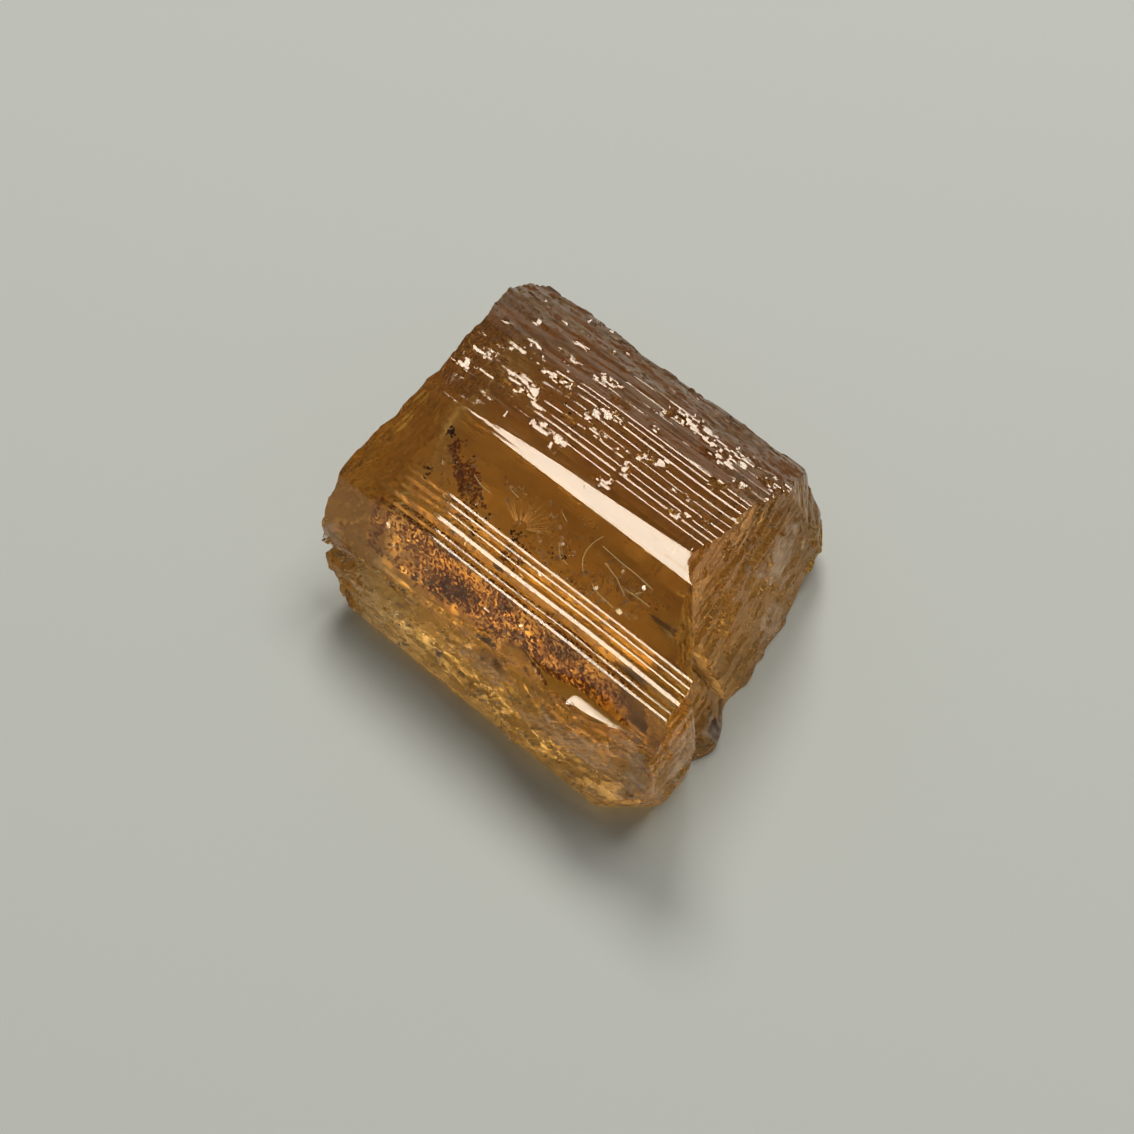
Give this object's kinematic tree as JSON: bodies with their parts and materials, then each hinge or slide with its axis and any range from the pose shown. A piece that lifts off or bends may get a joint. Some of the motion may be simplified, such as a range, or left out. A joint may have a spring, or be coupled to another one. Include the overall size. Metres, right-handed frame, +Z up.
{
  "type": "imperial topaz crystal",
  "caption": "Rough imperial topaz crystal: a stout orange prism with striated faces, a bright ridge and broken ends, lying on a flat prism face.",
  "frame": {"origin": "middle of the crystal's outline, on the surface that it rests on", "axes": "+X along the prism's length (its c axis and striations) to the end with the protruding lobe, +Z up from the resting face, +Y to the rear"},
  "size_m": [0.0132, 0.0102, 0.0062],
  "materials": {
    "topaz": "clear orange-brown crystal, glassy on the grown faces and frosted on the breaks"
  },
  "bodies": {
    "root": {"topaz_crystal": "topaz"}
  },
  "joints": []
}
